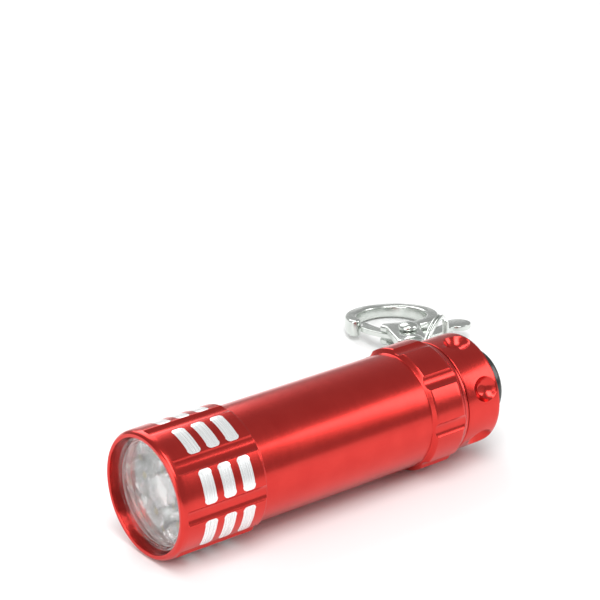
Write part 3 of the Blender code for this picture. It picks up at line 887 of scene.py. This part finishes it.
def make_clasp_body():
    """The casting: a shank with a slot for the gate, and a hook that gets thinner towards its far end."""
    hook_at, hook_r, bore_r, bed = 20.3 * MM, 9.2 * MM, 6.8 * MM, 14.0 * MM
    half_width = 3.1 * MM
    base_half, tip_half = 2.5 * MM, 1.1 * MM
    start = 1.2 * MM
    hook = (hook_at, 0)
    bed_angle = math.degrees(math.acos((bed - hook_at) / bore_r))
    flank_angle = 180 - math.degrees(math.asin(half_width / hook_r))
    nose_angle = 105
    outline = [(start, -half_width), (8.0 * MM, -half_width)]
    outline += arc(hook, hook_r, -flank_angle + 4, nose_angle - 2, 90)
    nose_turn = math.radians(nose_angle - 1)
    nose = (hook_at + 8.0 * MM * math.cos(nose_turn), 8.0 * MM * math.sin(nose_turn))
    outline += arc(nose, 1.15 * MM, nose_angle + 20, nose_angle + 160, 8)
    outline += arc(hook, bore_r, nose_angle - 2, -bed_angle, 80)
    outline += [
        (bed, 2.6 * MM),
        (bed - 0.4 * MM, 3.4 * MM),
        (12.2 * MM, 4.1 * MM),
        (11.2 * MM, half_width),
        (start, half_width),
    ]
    slope = (tip_half - base_half) / (hook_at + hook_r)
    body = slab("clasp_casting", outline, base_half, slope, 0.5 * MM, 4)
    flange = [(0, 0), (0, 3.2 * MM, 0.25 * MM), (1.6 * MM, 3.2 * MM, 0.25 * MM), (1.6 * MM, 0)]
    boolean(body, turned_piece("flange_shape", flange, CHROME, 96), "UNION")
    slot_start, slot_end, slot_low, slot_high = 3.0 * MM, 15.5 * MM, -10.5 * MM, 5.5 * MM
    slot = [(slot_start, slot_low), (slot_end, slot_low), (slot_end, slot_high), (slot_start, slot_high)]
    boolean(body, slab("slot_shape", slot, 0.9 * MM, 0, 0, 0))
    boolean(body, pin_bore("pin_hole_shape", 4 * MM))
    shade(body, 30)
    stand_for(placed(body, CLASP_FRAME), "clasp", "chrome", "clasp_body")


def make_gate():
    """The lever's arm closes the gap from inside, and its thumb tab stands out on the other side."""
    arm = [(9.6, 1.6, 0.6), (12.5, 4.3, 0.8), (15.0, 6.2, 0.8), (17.0, 7.0, 0.4), (18.0, 5.95, 0.3)]
    arm += [(19.3, 6.0, 0.2), (19.2, 5.2, 0.3), (17.5, 4.6, 0.8), (13.9, 2.6, 1.2), (10.4, -1.0, 1.2)]
    arm += [(11.5, -4.5, 1.4), (13.9, -8.2, 1.2)]
    tab = arc((15.0, -12.1), 2.5, 40, -210, 28)
    heel = [(8.8, -6.4, 1.2)] + arc((PIVOT.x / MM, PIVOT.y / MM), 2.1, -120, -270, 16)
    outline = fillet([tuple(value * MM for value in point) for point in arm + tab + heel])
    gate = slab("gate_lever", outline, 0.5 * MM, 0, 0.2 * MM, 3)
    boolean(gate, pin_bore("gate_bore_shape", 2 * MM))
    shade(gate, 30)
    stand_for(placed(gate, CLASP_FRAME), "gate", "chrome", "gate")


def make_gate_pin():
    """A ball-headed pin, and its riveted foot on the other face."""
    profile = [
        (-2.2 * MM, 0),
        (-2.2 * MM, 0.8 * MM, 0.1 * MM),
        (2.35 * MM, 0.8 * MM),
        (2.35 * MM, 1.7 * MM, 0.1 * MM),
        (2.6 * MM, 1.95 * MM, 0.2 * MM),
        (3.2 * MM, 1.8 * MM, 0.3 * MM),
        (3.6 * MM, 1.1 * MM, 0.4 * MM),
        (3.75 * MM, 0.3 * MM, 0.2 * MM),
        (3.75 * MM, 0),
    ]
    pin = turned_piece("gate_rivet", profile, CHROME, 64, CLASP_FRAME @ PIN_PLACE, 50)
    stand_for(pin, "clasp", "chrome", "gate_pin")


# ---------------------------------------------------------------- carried-over nodes


def finish_inner_nodes():
    """The inner CAD nodes keep their shapes and get finished materials."""
    finishes = {
        "lens_seal": SILICONE,
        "led_board": BOARD,
        "front_spring": SPRING,
        "tail_spring": SPRING,
        "switch_spring": SPRING,
        "gate_spring": SPRING,
        "battery_sleeve": BLACK,
        "switch_housing": BLACK,
        "cap_o_ring": SEAL,
        "retaining_ring": BRASS,
        "switch_plunger": BRASS,
    }
    for i in range(4):
        finishes[f"cell_{i + 1}"] = CELL
    for name, material in finishes.items():
        mesh = frame["nodes"][name].data
        mesh.materials.clear()
        mesh.materials.append(material)


# ---------------------------------------------------------------- studio


def plain_material(name, colour, roughness):
    surface = Surface(name, roughness)
    surface.shader.inputs["Base Color"].default_value = (*colour, 1)
    return surface.material


def make_floor():
    half = 3.0
    bm = bmesh.new()
    corners = ((-half, -half), (half, -half), (half, half), (-half, half))
    bm.faces.new([bm.verts.new((x, y, 0)) for x, y in corners])
    floor = link("floor", bm, plain_material("studio_floor", (0.93, 0.93, 0.93), 0.55))
    floor.location.z = cad_low.z - 0.02 * MM


def add_light(name, place, target, size, power, size_y=None):
    data = bpy.data.lights.new(name, "AREA")
    data.energy = power
    data.shape = "RECTANGLE" if size_y else "SQUARE"
    data.size = size
    if size_y:
        data.size_y = size_y
    light = bpy.data.objects.new(name, data)
    bpy.context.scene.collection.objects.link(light)
    light.location = place
    light.rotation_euler = (Vector(target) - Vector(place)).to_track_quat("-Z", "Y").to_euler()


def make_lights():
    middle = (0.035, 0.01, 0)
    add_light("key", (-0.1, -0.25, 0.62), middle, 0.34, 2.9, 0.5)
    add_light("fill", (-0.55, -0.1, 0.3), middle, 0.4, 1.5)
    add_light("side", (0.5, -0.32, 0.3), middle, 0.3, 1.0)
    add_light("back", (0.15, 0.55, 0.42), middle, 0.5, 2.1)
    world = bpy.data.worlds.new("studio")
    world.use_nodes = True
    world.node_tree.nodes["Background"].inputs["Color"].default_value = (1, 1, 1, 1)
    world.node_tree.nodes["Background"].inputs["Strength"].default_value = 0.42
    bpy.context.scene.world = world
    bpy.context.scene.view_settings.view_transform = "Standard"


def make_camera():
    data = bpy.data.cameras.new("camera")
    data.sensor_width = 36
    data.lens = 146.9
    data.clip_start = 0.01
    camera = bpy.data.objects.new("camera", data)
    bpy.context.scene.collection.objects.link(camera)
    camera.location = (-0.1975, -0.2917, 0.1814)
    camera.rotation_euler = (math.radians(90 - 22.77), 0, math.radians(-37.99))
    bpy.context.scene.camera = camera


make_camera()
make_body_tube()
make_bars()
make_lens()
make_reflector()
make_leds()
make_tail_cap()
make_button()
make_key_ring()
make_swivel_eye()
make_rivet()
make_clasp_body()
make_gate()
make_gate_pin()
finish_inner_nodes()
make_floor()
make_lights()
